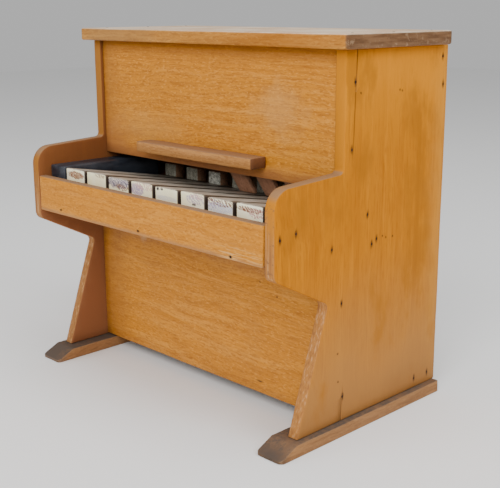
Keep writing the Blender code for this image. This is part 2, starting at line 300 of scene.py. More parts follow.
def make_grain_group():
    tree, given, out = new_group("board_grain", [
        ("Place", "Vector", None), ("Pale", "Color", (0.8, 0.5, 0.2, 1.0)),
        ("Body", "Color", (0.6, 0.3, 0.1, 1.0)), ("Dark", "Color", (0.3, 0.12, 0.03, 1.0)),
        ("Figure", "Float", 0.5), ("Streaks", "Float", 0.5), ("Flecks", "Float", 0.4),
        ("Ring Width", "Float", 90.0)], [("Color", "Color"), ("Height", "Float")])
    place = given["Place"]
    sway = cloud(tree, stretched(tree, place, (0.30, 1.0, 1.0)), 20.0, 2.0)
    small_sway = cloud(tree, stretched(tree, place, (0.5, 1.0, 1.0)), 120.0, 2.0)
    lift = plus(tree, times(tree, sway, 0.020), times(tree, small_sway, 0.0016))
    shift = put(tree, "ShaderNodeCombineXYZ", {"Y": lift, "Z": lift}).outputs[0]
    bent = vectors(tree, "ADD", place, shift)
    rings = put(tree, "ShaderNodeTexWave", {"Vector": bent, "Scale": given["Ring Width"],
                "Distortion": 0.0, "Detail": 0.0}, wave_type="RINGS",
                rings_direction="X", wave_profile="SAW").outputs["Fac"]
    figure = times(tree, between(tree, rings, 0.45, 1.0), given["Figure"])
    broad = cloud(tree, stretched(tree, bent, (0.045, 1.0, 1.0)), 260.0, 3.0)
    fine = cloud(tree, stretched(tree, bent, (0.08, 1.0, 1.0)), 900.0, 3.0, 0.6)
    pale_amount = times(tree, between(tree, broad, 0.46, 0.70), given["Streaks"])
    dark_amount = times(tree, between(tree, fine, 0.48, 0.72), given["Streaks"])
    fleck_place = stretched(tree, bent, (0.34, 1.0, 1.0))
    fleck = between(tree, cloud(tree, fleck_place, 1000.0, 2.0, 0.5, 0.3), 0.52, 0.70)
    fleck_amount = times(tree, fleck, given["Flecks"])
    pore_place = stretched(tree, bent, (0.26, 1.0, 1.0))
    pore = between(tree, cloud(tree, pore_place, 1100.0, 2.0, 0.5, 0.2), 0.54, 0.68)
    pore_amount = times(tree, pore, given["Flecks"])
    colour = mixed(tree, figure, given["Body"], given["Dark"])
    colour = mixed(tree, pale_amount, colour, given["Pale"])
    colour = mixed(tree, dark_amount, colour, given["Dark"])
    long_place = stretched(tree, bent, (0.05, 1.0, 1.0))
    line = between(tree, cloud(tree, long_place, 800.0, 2.0, 0.5, 0.3), 0.55, 0.68, 0.0, 0.7)
    colour = mixed(tree, times(tree, line, given["Streaks"]), colour, given["Dark"])
    colour = mixed(tree, pore_amount, colour, given["Dark"])
    colour = mixed(tree, fleck_amount, colour, given["Pale"])
    height = minus(tree, times(tree, broad, 0.5), times(tree, fine, 0.5))
    height = minus(tree, height, times(tree, pore_amount, 0.8))
    tree.links.new(colour, out["Color"])
    tree.links.new(height, out["Height"])
    return tree


GRAIN = make_grain_group()
print("grain group:", len(GRAIN.nodes), "nodes")

# %% [markdown]
# ## Edge wear
#
# Hands and floors rub the varnish off a toy's edges first.  A Bevel node gives the
# normal that a rounder edge would have; where it differs from the real one, the
# surface is close to an edge.  Noise then breaks the band up, so the wear looks earned.

# %% Edge wear group


def make_edge_group():
    tree, given, out = new_group("edge_wear", [
        ("Place", "Vector", None), ("Reach", "Float", 0.0016), ("Amount", "Float", 0.7),
        ("Patch Size", "Float", 60.0)], [("Mask", "Float")])
    rounder = put(tree, "ShaderNodeBevel", {"Radius": given["Reach"]}, samples=6).outputs[0]
    plain = put(tree, "ShaderNodeNewGeometry").outputs["Normal"]
    edge = between(tree, vectors(tree, "DOT_PRODUCT", rounder, plain), 0.998, 0.90)
    patch = cloud(tree, given["Place"], given["Patch Size"], 4.0, 0.65)
    grit = cloud(tree, given["Place"], 700.0, 2.0)
    broken = plus(tree, times(tree, patch, 0.75), times(tree, grit, 0.35))
    limit = minus(tree, 1.05, times(tree, given["Amount"], 0.75))
    over = minus(tree, plus(tree, broken, times(tree, edge, 0.45)), limit)
    mask = times(tree, between(tree, over, 0.0, 0.16), edge)
    tree.links.new(mask, out["Mask"])
    return tree


EDGE_WEAR = make_edge_group()
print("edge wear group:", len(EDGE_WEAR.nodes), "nodes")

# %% [markdown]
# ## Grime
#
# Dust and hand dirt stay on faces that look up and gather in blotches.  The group
# returns how dirty each point is, from its direction and from two sizes of noise.  On the
# lid, whose colour for it is pale, the same mask also lays a painted sheen on the top.

# %% Grime group


def make_grime_group():
    tree, given, out = new_group("grime_and_sheen", [
        ("Place", "Vector", None), ("Upward", "Float", 0.6), ("Overall", "Float", 0.15),
        ("Blotch Size", "Float", 35.0)], [("Mask", "Float")])
    up = axis_of(tree, face_normal(tree), "Z")
    top = times(tree, between(tree, up, 0.35, 0.9), given["Upward"])
    blotch = between(tree, cloud(tree, given["Place"], given["Blotch Size"], 5.0, 0.6),
                     0.30, 0.72)
    speck = between(tree, cloud(tree, given["Place"], 420.0, 3.0, 0.6), 0.45, 0.75)
    pattern = plus(tree, times(tree, blotch, 0.75), times(tree, speck, 0.35))
    even = plus(tree, times(tree, pattern, 0.6), 0.4)
    amount = plus(tree, times(tree, top, even), times(tree, pattern, given["Overall"]),
                  clamp=True)
    tree.links.new(amount, out["Mask"])
    return tree


GRIME = make_grime_group()
print("grime group:", len(GRIME.nodes), "nodes")

# %% [markdown]
# ## Patches, faces and stains
#
# Real finishes differ from place to place.  Three small groups say where: `patch` is a
# ragged oval around a point, `facing` picks the faces that look one way, and `stain` is
# the dark smear that iron leaves along the grain around a nail.

# %% Patch, facing and stain groups


def make_patch_group():
    tree, given, out = new_group("patch", [
        ("Place", "Vector", None), ("Middle", "Vector", (0.0, 0.0, 0.0)),
        ("Size", "Vector", (0.01, 0.01, 0.01)), ("Ragged", "Float", 0.5),
        ("Noise Size", "Float", 90.0)], [("Mask", "Float")])
    away = vectors(tree, "SUBTRACT", given["Place"], given["Middle"])
    distance = vectors(tree, "LENGTH", vectors(tree, "DIVIDE", away, given["Size"]))
    rough = minus(tree, cloud(tree, given["Place"], given["Noise Size"], 4.0), 0.5)
    ragged = plus(tree, distance, times(tree, rough, given["Ragged"]))
    tree.links.new(between(tree, ragged, 1.15, 0.15), out["Mask"])
    return tree


def make_facing_group():
    tree, given, out = new_group("facing", [("Direction", "Vector", (0.0, 0.0, 1.0))],
                                 [("Mask", "Float")])
    along = vectors(tree, "DOT_PRODUCT", face_normal(tree), given["Direction"])
    tree.links.new(between(tree, along, 0.35, 0.75), out["Mask"])
    return tree


def make_stain_group():
    tree, given, out = new_group("stain", [
        ("Place", "Vector", None), ("Nail", "Vector", (0.0, 0.0, 0.0)),
        ("Squeeze", "Vector", (1.0, 1.0, 0.4)), ("Reach", "Float", 0.003)],
        [("Mask", "Float")])
    away = vectors(tree, "SUBTRACT", given["Place"], given["Nail"])
    distance = vectors(tree, "LENGTH", stretched(tree, away, given["Squeeze"]))
    near = maths(tree, "DIVIDE", distance, given["Reach"])
    smear = cloud(tree, stretched(tree, given["Place"], given["Squeeze"]), 900.0, 3.0)
    uneven = plus(tree, near, times(tree, minus(tree, smear, 0.5), 0.8))
    tree.links.new(between(tree, uneven, 1.0, 0.15), out["Mask"])
    return tree


PATCH = make_patch_group()
FACING = make_facing_group()
STAIN = make_stain_group()
print("patch, facing and stain groups ready")

# %% [markdown]
# The three groups are wrapped in short functions that lay one colour over another, so
# that each piece below can list its marks one line at a time.

# %% Marks
UP, DOWN = (0.0, 0.0, 1.0), (0.0, 0.0, -1.0)
FORWARD = (0.0, -1.0, 0.0)
RIGHTWARDS, LEFTWARDS = (1.0, 0.0, 0.0), (-1.0, 0.0, 0.0)
IRON_STAIN = (0.045, 0.02, 0.012)


def oval(tree, place, middle, size, ragged=0.5, noise_size=90.0):
    return use_group(tree, PATCH, {"Place": place, "Middle": middle, "Size": size,
                     "Ragged": ragged, "Noise Size": noise_size}).outputs["Mask"]


def patches(tree, place, colour, spots):
    """Lay ragged ovals, each given as a tone, an amount and the inputs of its oval."""
    for tone, amount, *shape in spots:
        colour = laid(tree, colour, tone, oval(tree, place, *shape), amount)
    return colour


def facing(tree, direction):
    return use_group(tree, FACING, {"Direction": direction}).outputs["Mask"]


def tint_face(tree, colour, tone, amount, direction, within=None):
    """Tint the faces that look one way, and there only within a further mask."""
    mask = facing(tree, direction)
    if within:
        mask = times(tree, mask, within)
    return laid(tree, colour, tone, mask, amount)


def nail_stains(tree, place, colour, nails, squeeze, reach):
    for nail in nails:
        mask = use_group(tree, STAIN, {"Place": place, "Nail": nail, "Squeeze": squeeze,
                         "Reach": reach}).outputs["Mask"]
        colour = laid(tree, colour, IRON_STAIN, mask, 0.85)
    return colour


def height_mask(tree, place, low, high):
    """0 at and below low, 1 at and above high, with a wandering line between."""
    wander = times(tree, minus(tree, cloud(tree, place, 16.0, 3.0), 0.5), 0.05)
    return between(tree, plus(tree, axis_of(tree, place, "Z"), wander), low, high)


print("mark helpers ready")

# %% [markdown]
# ## The varnished wood material
#
# One function makes every wooden finish.  It turns the board's own coordinates until the
# grain lies along X, lays the piece's own marks over the grain, then grime and edge
# wear, and lets the worn parts go matt.  On the lid the grime colour is pale and is also a
# painted sheen.

# %% Varnished wood

ALONG = {"x": (0.0, 0.0, 0.0), "y": (0.0, 0.0, -math.pi / 2), "z": (0.0, math.pi / 2, 0.0)}


def wood(name, along, pale, body, dark, offset=(0.0, 0.0, 0.0), figure=0.35, streaks=0.5,
         flecks=0.3, ring=60.0, worn=(0.40, 0.21, 0.085), wear=0.6, reach=0.0011,
         dirt_and_sheen=(0.16, 0.11, 0.075), upward=0.5, overall=0.12, roughness=0.46, coat=0.03,
         specular=0.10, marks=None, bump=0.25):
    material, tree, shader, place = new_material(name)
    turned = put(tree, "ShaderNodeMapping", {"Vector": place, "Location": offset,
                 "Rotation": ALONG[along]}).outputs[0]
    grain = use_group(tree, GRAIN, {"Place": turned, "Pale": opaque(pale),
                      "Body": opaque(body), "Dark": opaque(dark), "Figure": figure,
                      "Streaks": streaks, "Flecks": flecks, "Ring Width": ring}).outputs
    colour = grain["Color"]
    if marks:
        colour = marks(tree, place, colour)
    # Grime: dust and dirt on faces that look up and in blotches; on the lid its pale colour is
    # also a painted sheen.
    grime_and_sheen = use_group(tree, GRIME, {"Place": place, "Upward": upward,
                      "Overall": overall}).outputs["Mask"]
    rubbed = use_group(tree, EDGE_WEAR, {"Place": place, "Reach": reach,
                       "Amount": wear}).outputs["Mask"]
    colour = mixed(tree, grime_and_sheen, mixed(tree, rubbed, colour, worn), dirt_and_sheen)
    rough = plus(tree, times(tree, rubbed, 0.30), times(tree, grime_and_sheen, 0.35))
    tree.links.new(plus(tree, rough, roughness, clamp=True), shader.inputs["Roughness"])
    shader.inputs["Specular IOR Level"].default_value = specular
    shader.inputs["Coat Weight"].default_value = coat
    shader.inputs["Coat Roughness"].default_value = 0.25
    plug_in(tree, shader, colour, grain["Height"], bump, 0.0003)
    return material


AMBER = {"pale": (0.69, 0.300, 0.045), "body": (0.55, 0.208, 0.014),
         "dark": (0.32, 0.100, 0.008)}
FLANK = {"pale": (0.58, 0.210, 0.006), "body": (0.48, 0.162, 0.002),
         "dark": (0.32, 0.092, 0.001)}
BROWN = {"pale": (0.54, 0.265, 0.090), "body": (0.42, 0.185, 0.050),
         "dark": (0.23, 0.085, 0.020)}
FOOT = {"pale": (0.42, 0.215, 0.090), "body": (0.31, 0.150, 0.058),
        "dark": (0.17, 0.075, 0.028)}
LID = {"pale": (0.62, 0.290, 0.060), "body": (0.45, 0.180, 0.026),
       "dark": (0.24, 0.082, 0.010)}
RAW = {"pale": (0.46, 0.32, 0.18), "body": (0.33, 0.21, 0.11), "dark": (0.17, 0.09, 0.04)}
print("wood palettes: amber, flank, brown, foot, lid and raw")

# %% [markdown]
# ## Worn boards
#
# A new board has dead straight edges; a played-with one doesn't.  Each wooden piece is
# a merged copy of its exact solid, cut by a grid so that it has points to move, and then
# pushed in here and there along its edges and waved very slightly across its faces.

# %% Worn pieces
SAME_POINT = 1e-6      # metres between points that are one and the same
SLIVER = 2e-6          # metres between points that a cut left too close together
FLAT_TURN = math.radians(0.5)
SHARP_TURN = math.radians(35)


def grid_cut(mesh, low, high, spacing):
    """Slice a mesh into cells along each axis that is longer than one cell."""
    for axis in range(3):
        length = high[axis] - low[axis]
        count = int(length / spacing)
        normal = [0.0, 0.0, 0.0]
        normal[axis] = 1.0
        for i in range(1, count):
            point = [0.0, 0.0, 0.0]
            point[axis] = low[axis] + length * i / count
            bmesh.ops.bisect_plane(mesh, geom=mesh.verts[:] + mesh.edges[:] + mesh.faces[:],
                                   plane_co=point, plane_no=normal, dist=SAME_POINT)


def edgeness(vertex):
    """0 in the middle of a flat face, up to 1 on an edge or corner."""
    faces = vertex.link_faces
    spread = min((a.normal.dot(b.normal) for a in faces for b in faces), default=1.0)
    return max(0.0, min(1.0, 1.0 - spread))


def weathered(vertex, seed, dents, waves):
    """How far a point goes in (negative) or out along its normal, in metres."""
    p = vertex.co + Vector((seed * 0.37, seed * 0.11, seed * 0.23))
    wave = noise.noise(p * 22.0) * waves
    knock = max(0.0, noise.noise(p * 140.0) - 0.12) + max(0.0, noise.noise(p * 55.0))
    return wave - edgeness(vertex) * knock * dents


def carved(mesh, cutter):
    """The mesh with another mesh taken out of it."""
    block = add_object("block", mesh)
    knife = add_object("knife", cutter)
    cut = block.modifiers.new("cut", "BOOLEAN")
    cut.operation = "DIFFERENCE"
    cut.solver = "EXACT"
    cut.object = knife
    seen = block.evaluated_get(bpy.context.evaluated_depsgraph_get())
    result = bpy.data.meshes.new_from_object(seen)
    for item in (block, knife):
        bpy.data.objects.remove(item)
    return result


def worn_piece(node, ending, material, spacing=0.006, dents=0.0006, waves=0.00006,
               seed=1, lean=0.0, cutters=()):
    """A weathered copy of an exact piece that stands for it and rides on its body."""
    mesh = bmesh.new()
    mesh.from_mesh(NODES[node].data)
    bmesh.ops.remove_doubles(mesh, verts=mesh.verts, dist=SAME_POINT)
    bmesh.ops.dissolve_limit(mesh, angle_limit=FLAT_TURN, verts=mesh.verts,
                             edges=mesh.edges)
    low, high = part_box(node)
    if spacing:
        grid_cut(mesh, low, high, spacing)
    mesh.normal_update()
    moves = [(v, v.normal * weathered(v, seed, dents, waves)) for v in mesh.verts]
    for vertex, move in moves:
        vertex.co += move
        vertex.co.z += lean * (vertex.co.y - (low[1] + high[1]) / 2)
        vertex.co.z = max(vertex.co.z, 0.0)
    bmesh.ops.remove_doubles(mesh, verts=mesh.verts, dist=SLIVER)
    data = bpy.data.meshes.new(node + ending)
    mesh.to_mesh(data)
    mesh.free()
    for cutter in cutters:
        data = carved(data, cutter)
    data.materials.clear()
    data.materials.append(material)
    data.shade_smooth()
    data.set_sharp_from_angle(angle=SHARP_TURN)
    piece = add_object(node + ending, data)
    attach(piece, BODY_OF[node])
    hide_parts(node)
    return piece


print("ready to copy", len(NODES), "nodes")

# %% [markdown]
# ## Nails and splits
#
# The boards are nailed through their faces.  The heads have rusted, and the iron has
# stained the wood along the grain.  The right side board has split in two places, at a
# nail near the lid and at the foot: the cracks follow the grain and close up as they go.

# %% Nail places
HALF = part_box("right_side")[1][0]
SIDE_NAILS = [(0.0720, 0.2248), (0.0734, 0.2075), (-0.0131, 0.2136), (-0.0149, 0.1751),
              (-0.0744, 0.1317), (-0.0616, 0.1334), (-0.0310, 0.1187), (0.0010, 0.1347),
              (0.0057, 0.1157), (0.0103, 0.1182), (-0.0215, 0.0841), (-0.0189, 0.0240),
              (0.0547, 0.0148), (0.0692, 0.0152)]
SCRATCHES = [(-0.0079, 0.2071), (0.0288, 0.2068), (0.0312, 0.2062), (0.0160, 0.1190),
             (0.0195, 0.1176), (0.0262, 0.1172), (-0.0241, 0.0530), (-0.0233, 0.0347)]
RAIL_NAILS = [(-0.0865, 0.1187), (0.0001, 0.1181), (0.0854, 0.1171)]
SPLIT_FOOT_Y = -0.0200
SPLIT_LEAN = 0.0368
SPLIT_BASE_Z = 0.008
RIGHT_NAILS = [(HALF, y, z) for y, z in SIDE_NAILS]
LEFT_NAILS = [(-HALF, y + 0.0016 * math.sin(9.0 * i), z + 0.002 * math.cos(7.0 * i))
              for i, (y, z) in enumerate(SIDE_NAILS)]
RAIL_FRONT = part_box("key_rail")[0][1]


def split_y(z):
    """Where the split runs: straight up the board with a slight lean."""
    return SPLIT_FOOT_Y + SPLIT_LEAN * (z - SPLIT_BASE_Z)


print(len(RIGHT_NAILS), "nails in each side,", len(RAIL_NAILS), "in the key rail")

# %% [markdown]
# ## The case
#
# Each board gets its own copy of the finish, turned along its length and started at a
# different place in the log, so no two boards repeat.  The marks say what years of play
# did to each one, and some of them are painted light and shade.

# %% Side boards
CREST = (0.30, 0.165, 0.080)
# Inner faces of the side boards are painted dark red-brown: a darker wood there, and painted
# shade of the recess beside the keys.
INNER_CHEEK = (0.165, 0.060, 0.024)
INNER_LEG = (0.250, 0.098, 0.042)


def split_shade_and_stain(tree, place, colour, low, high, width):
    """A dark line along the split between two heights, fading at both ends: painted shade in
    the crack, with a stain along it.
    """
    height = axis_of(tree, place, "Z")
    line = plus(tree, times(tree, minus(tree, height, SPLIT_BASE_Z), SPLIT_LEAN), SPLIT_FOOT_Y)
    wander = times(tree, minus(tree, cloud(tree, place, 60.0, 2.0), 0.5), 0.0012)
    off_line = plus(tree, minus(tree, axis_of(tree, place, "Y"), line), wander)
    near = between(tree, maths(tree, "ABSOLUTE", off_line), width, 0.0)
    middle, reach = (low + high) / 2, (high - low) / 2
    along = maths(tree, "ABSOLUTE", minus(tree, height, middle))
    mask = times(tree, near, between(tree, along, reach, reach * 0.55))
    return laid(tree, colour, (0.10, 0.03, 0.006), mask, 0.75)


def side_marks(inward, nails, edge_tone, split):
    """Marks of a side board; inward is the X direction of its inner face."""
    outer = -inward * HALF

    def marks(tree, place, colour):
        # Painted light from above: the board is painted lighter at the top and darker and
        # browner towards the bottom.
        low = flipped(tree, height_mask(tree, place, 0.02, 0.12))
        colour = laid(tree, colour, (0.385, 0.188, 0.060), low, 0.75)
        top = height_mask(tree, place, 0.165, 0.225)
        colour = laid(tree, colour, (0.70, 0.265, 0.010), top, 0.60)
        blotch = cloud(tree, stretched(tree, place, (1.0, 1.0, 0.5)), 45.0, 4.0, 0.6)
        mottle = between(tree, blotch, 0.48, 0.68)
        colour = laid(tree, colour, (0.34, 0.116, 0.004), mottle, 0.62)
        # Painted shade: darker still towards the foot of the board.
        base_shade = flipped(tree, height_mask(tree, place, -0.01, 0.05))
        colour = laid(tree, colour, (0.25, 0.110, 0.034), base_shade, 0.75)
        colour = patches(tree, place, colour, [
            ((0.62, 0.285, 0.050), 0.45, (outer, 0.080, 0.13), (0.02, 0.022, 0.14), 0.6)])
        leg = flipped(tree, height_mask(tree, place, 0.12, 0.15))
        streak = cloud(tree, stretched(tree, place, (1.0, 1.0, 0.04)), 800.0, 3.0)
        pale_streak = times(tree, leg, between(tree, streak, 0.52, 0.68))
        dark_streak = times(tree, leg, between(tree, streak, 0.46, 0.36))
        under_crest = flipped(tree, height_mask(tree, place, 0.14, 0.165))
        cheek = times(tree, height_mask(tree, place, 0.06, 0.10), under_crest)
        chips = between(tree, cloud(tree, place, 330.0, 4.0, 0.7), 0.57, 0.62)
        faces = [(edge_tone, 0.8, FORWARD, None),
                 ((0.355, 0.160, 0.055), 0.7, FORWARD, leg),
                 ((0.56, 0.31, 0.15), 0.6, FORWARD, pale_streak),
                 ((0.22, 0.090, 0.035), 0.6, FORWARD, dark_streak),
                 ((0.20, 0.095, 0.045), 0.75, FORWARD, times(tree, chips, cheek)),
                 (CREST, 0.85, UP, None),
                 # Inner faces: darker wood, and painted shade of the recess.
                 (INNER_CHEEK, 0.9, (inward, 0.0, 0.0), None),
                 (INNER_LEG, 0.9, (inward, 0.0, 0.0), leg)]
        for tone, amount, direction, within in faces:
            colour = tint_face(tree, colour, tone, amount, direction, within)
        # Along each split a dark line: painted shade in the crack, with a stain along it.
        if split:
            colour = split_shade_and_stain(tree, place, colour, 0.160, 0.280, 0.0008)
            colour = split_shade_and_stain(tree, place, colour, -0.016, 0.034, 0.0007)
        colour = nail_stains(tree, place, colour, nails, (1.0, 1.0, 0.42), 0.0017)
        scratches = [(outer, y, z) for y, z in SCRATCHES]
        return nail_stains(tree, place, colour, scratches, (1.0, 0.7, 0.7), 0.0008)
    return marks


SIDE_FINISH = {"figure": 0.26, "streaks": 0.52, "flecks": 0.05, "ring": 24.0, "wear": 0.50,
               "reach": 0.0008, "upward": 0.30, "overall": 0.02, "roughness": 0.42,
               "coat": 0.0, "specular": 0.04, "worn": (0.34, 0.165, 0.055), "bump": 0.12}
flank_wood = wood("flank_wood", "z", **FLANK, offset=(0.0, 0.05, 0.02),
                  marks=side_marks(-1.0, RIGHT_NAILS, (0.49, 0.178, 0.008), True),
                  **SIDE_FINISH)
flank_wood_left = wood("flank_wood_left", "z", **FLANK, offset=(0.3, 0.45, 0.12),
                       marks=side_marks(1.0, LEFT_NAILS, (0.265, 0.110, 0.026), False),
                       **SIDE_FINISH)
print("side boards finished")

# %% Lid
LID_LOW, LID_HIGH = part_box("lid")


def lid_marks(tree, place, colour):
    front = LID_LOW[1]
    rim = (LID_LOW[2] + LID_HIGH[2]) / 2
    colour = patches(tree, place, colour, [
        ((0.31, 0.160, 0.050), 0.60, (-0.085, front, rim), (0.070, 0.02, 0.02), 1.3, 60.0),
        ((0.44, 0.190, 0.030), 0.3, (-0.01, front, rim), (0.055, 0.02, 0.012), 1.6),
        ((0.34, 0.110, 0.004), 0.55, (0.075, front, rim), (0.060, 0.02, 0.012), 1.3)])
    ends = plus(tree, facing(tree, RIGHTWARDS), facing(tree, LEFTWARDS), clamp=True)
    stripe = cloud(tree, stretched(tree, place, (1.0, 0.12, 1.0)), 480.0, 4.0, 0.6)
    bare = mixed(tree, between(tree, stripe, 0.35, 0.65), (0.095, 0.046, 0.021),
                 (0.170, 0.090, 0.044))
    colour = laid(tree, colour, bare, ends, 0.94)
    scuff = between(tree, cloud(tree, place, 240.0, 4.0, 0.7), 0.56, 0.64)
    low_rim = flipped(tree, height_mask(tree, place, rim - 0.026, rim + 0.022))
    return laid(tree, colour, (0.34, 0.225, 0.13), times(tree, ends, scuff), low_rim)


# On the lid the pale colour on upward faces is dust and also a painted sheen on the top.
lid_wood = wood("lid_wood", "x", **LID, offset=(0.1, 0.7, 0.3), figure=0.45, streaks=0.85,
                flecks=0.50, wear=0.62, reach=0.0010, upward=0.92, overall=0.0,
                dirt_and_sheen=(0.72, 0.63, 0.50), roughness=0.45, specular=0.15, coat=0.0,
                marks=lid_marks)
print("lid finished")

# %% Panels, rail and ledge


def upper_marks(tree, place, colour):
    (left, front, foot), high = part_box("upper_panel")
    top = high[2]
    colour = patches(tree, place, colour, [
        # Painted shadow of the lid: a darker band along the top of the panel.
        ((0.30, 0.105, 0.018), 0.50, (0.0, front, top), (1.0, 1.0, 0.011), 0.5, 40.0),
        # Painted shade: darker towards the left side board.
        ((0.28, 0.105, 0.022), 0.45, (left, front, 0.19), (0.022, 1.0, 0.2), 0.5, 40.0),
        ((0.60, 0.35, 0.14), 0.26, (0.066, front, 0.194), (0.026, 1.0, 0.020), 1.6),
        ((0.62, 0.33, 0.10), 0.25, (-0.060, front, 0.172), (0.045, 1.0, 0.016), 1.2),
        # Painted shade under the music ledge: the foot of the panel darker, most in the left
        # corner.
        ((0.30, 0.118, 0.048), 0.8, (0.0, front, foot), (0.070, 1.0, 0.0105), 0.2),
        ((0.35, 0.138, 0.050), 0.7, (0.0, front, foot), (1.0, 1.0, 0.0100), 0.6),
        ((0.38, 0.150, 0.050), 0.6, (left, front, foot), (0.060, 1.0, 0.030), 0.6)])
    # Faces that look down are painted darker: painted shade.
    return tint_face(tree, colour, (0.22, 0.08, 0.03), 0.8, DOWN)


def lower_marks(tree, place, colour):
    low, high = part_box("lower_panel")
    left, front, top = low[0], low[1], high[2]
    colour = patches(tree, place, colour, [
        # Painted shadow of the key rail: a darker band along the top of the panel.
        ((0.25, 0.125, 0.090), 0.70, (0.0, front, top), (1.0, 1.0, 0.026), 0.6, 40.0),
        # Painted shade: darker towards the left side board.
        ((0.26, 0.10, 0.03), 0.50, (left, front, 0.06), (0.035, 1.0, 0.2), 0.6, 40.0),
        ((0.60, 0.40, 0.22), 0.5, (-0.062, front, 0.098), (0.006, 1.0, 0.008), 1.3, 200.0)])
    specks = [(0.0714, front, 0.0785), (0.0563, front, 0.0852)]
    colour = nail_stains(tree, place, colour, specks, (1.0, 1.0, 1.0), 0.0011)
    scrape = [(0.0561, front, 0.0176)]
    return nail_stains(tree, place, colour, scrape, (0.25, 1.0, 1.0), 0.0012)


def rail_marks(tree, place, colour):
    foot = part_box("key_rail")[0][2]
    colour = patches(tree, place, colour, [
        ((0.36, 0.180, 0.075), 0.7, (-0.01, RAIL_FRONT, foot), (0.9, 1.0, 0.0030), 0.9,
         160.0)])
    lines = cloud(tree, stretched(tree, place, (0.05, 1.0, 1.0)), 1300.0, 2.0)
    corner = oval(tree, place, (0.090, RAIL_FRONT, foot + 0.003), (0.030, 1.0, 0.008))
    scratch = between(tree, lines, 0.54, 0.62)
    colour = laid(tree, colour, (0.62, 0.33, 0.105), corner, scratch)
    colour = tint_face(tree, colour, (0.25, 0.150, 0.085), 0.85, UP)
    nails = [(x, RAIL_FRONT, z) for x, z in RAIL_NAILS]
    return nail_stains(tree, place, colour, nails, (0.6, 1.0, 1.0), 0.0014)


def ledge_marks(tree, place, colour):
    colour = tint_face(tree, colour, (0.27, 0.146, 0.078), 0.85, UP)
    return tint_face(tree, colour, (0.125, 0.050, 0.024), 0.9, RIGHTWARDS)


upper_wood = wood("upper_panel_wood", "x", **AMBER, offset=(0.4, 0.1, 0.5), figure=0.30,
                  streaks=0.60, flecks=0.60, wear=0.30, overall=0.03, marks=upper_marks)
lower_wood = wood("lower_panel_wood", "x", **AMBER, offset=(0.8, 0.3, 0.1), figure=0.30,
                  streaks=0.55, flecks=0.55, wear=0.30, overall=0.13, marks=lower_marks)
rail_wood = wood("rail_wood", "x", **AMBER, offset=(0.2, 0.9, 0.7), figure=0.25,
                 streaks=0.42, flecks=0.50, wear=0.60, overall=0.04, marks=rail_marks)
ledge_wood = wood("ledge_wood", "x", **BROWN, offset=(0.6, 0.2, 0.9), figure=0.25,
                  streaks=0.5, flecks=0.45, wear=0.65, upward=0.10, overall=0.08,
                  marks=ledge_marks)
print("panels, rail and ledge finished")

# %% Feet


def foot_marks(tree, place, colour):
    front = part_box("right_foot")[0][1]
    nose = (0.02, 0.010, 0.02)
    return patches(tree, place, colour, [
        ((0.056, 0.043, 0.035), 0.95, (0.114, front, 0.006), nose, 0.3),
        ((0.105, 0.084, 0.072), 0.85, (-0.114, front, 0.006), nose, 0.3)])


foot_wood = wood("foot_wood", "y", **FOOT, offset=(0.5, 0.5, 0.5), figure=0.35,
                 streaks=0.5, flecks=0.30, wear=0.65, reach=0.0014, upward=1.3,
                 overall=0.10, worn=(0.30, 0.185, 0.10), dirt_and_sheen=(0.098, 0.072, 0.056),
                 roughness=0.55, coat=0.0, marks=foot_marks)
print("feet finished")

# %% [markdown]
# The two splits are real cuts.  Each is a thin wedge that starts wide and deep at the end
# of the board and closes up at the far end; its middle line wanders a little, as a crack
# in wood does.  The wedge is taken out of the board with a Boolean.

# %% Split wedges


def split_wedge(name, start, stop, width, depth, steps=14):
    """A closing wedge along the split from height start to height stop."""
    proud = 0.0006
    points, faces = [], []
    for i in range(steps + 1):
        share = i / steps
        z = start + (stop - start) * share
        half = (0.00003 + width * (1.0 - share) ** 0.8) / 2
        y = split_y(z) + 0.0003 * noise.noise(Vector((0.0, 7.0, z * 60.0)))
        points += [(HALF + proud, y - half, z), (HALF + proud, y + half, z),
                   (HALF - 0.0001 - depth * (1.0 - share), y, z)]
    for i in range(steps):
        a, b = 3 * i, 3 * i + 3
        faces += [(a, a + 1, b + 1, b), (a + 1, a + 2, b + 2, b + 1), (a + 2, a, b, b + 2)]
    faces += [(2, 1, 0), (3 * steps, 3 * steps + 1, 3 * steps + 2)]
    mesh = bpy.data.meshes.new(name)
    mesh.from_pydata(points, [], faces)
    shape = bmesh.new()
    shape.from_mesh(mesh)
    bmesh.ops.recalc_face_normals(shape, faces=shape.faces)
    shape.to_mesh(mesh)
    shape.free()
    return mesh


BOARD_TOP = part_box("right_side")[1][2]
BOARD_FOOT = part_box("right_side")[0][2]
WEDGES = [split_wedge("lid_split", BOARD_TOP + 0.001, 0.2080, 0.00095, 0.0030),
          split_wedge("foot_split", BOARD_FOOT - 0.001, 0.0245, 0.00065, 0.0022)]
print("2 split wedges,", sum(len(w.polygons) for w in WEDGES), "faces")

# %% Dress the case
CUTS = {"right_side": WEDGES}
DENTS = {"lid": 0.0010, "music_ledge": 0.0010}     # knocked deeper than the others
BOARDS = [
    ("left_side", "_board", flank_wood_left, "side_wood", 0.006),
    ("right_side", "_board", flank_wood, "side_wood", 0.006),
    ("lid", "_board", lid_wood, "lid_wood", 0.004),
    ("upper_panel", "_board", upper_wood, "panel_wood", 0.008),
    ("lower_panel", "_board", lower_wood, "panel_wood", 0.008),
    ("key_rail", "_board", rail_wood, "panel_wood", 0.004),
    ("music_ledge", "_strip", ledge_wood, "panel_wood", 0.003),
    ("left_foot", "_runner", foot_wood, "foot_wood", 0.004),
    ("right_foot", "_runner", foot_wood, "foot_wood", 0.004),
]
for number, (node, ending, material, slot, spacing) in enumerate(BOARDS):
    board = worn_piece(node, ending, material, spacing, DENTS.get(node, 0.0006),
                       seed=number, cutters=CUTS.get(node, ()))
    print(board.name, len(board.data.polygons), "faces")

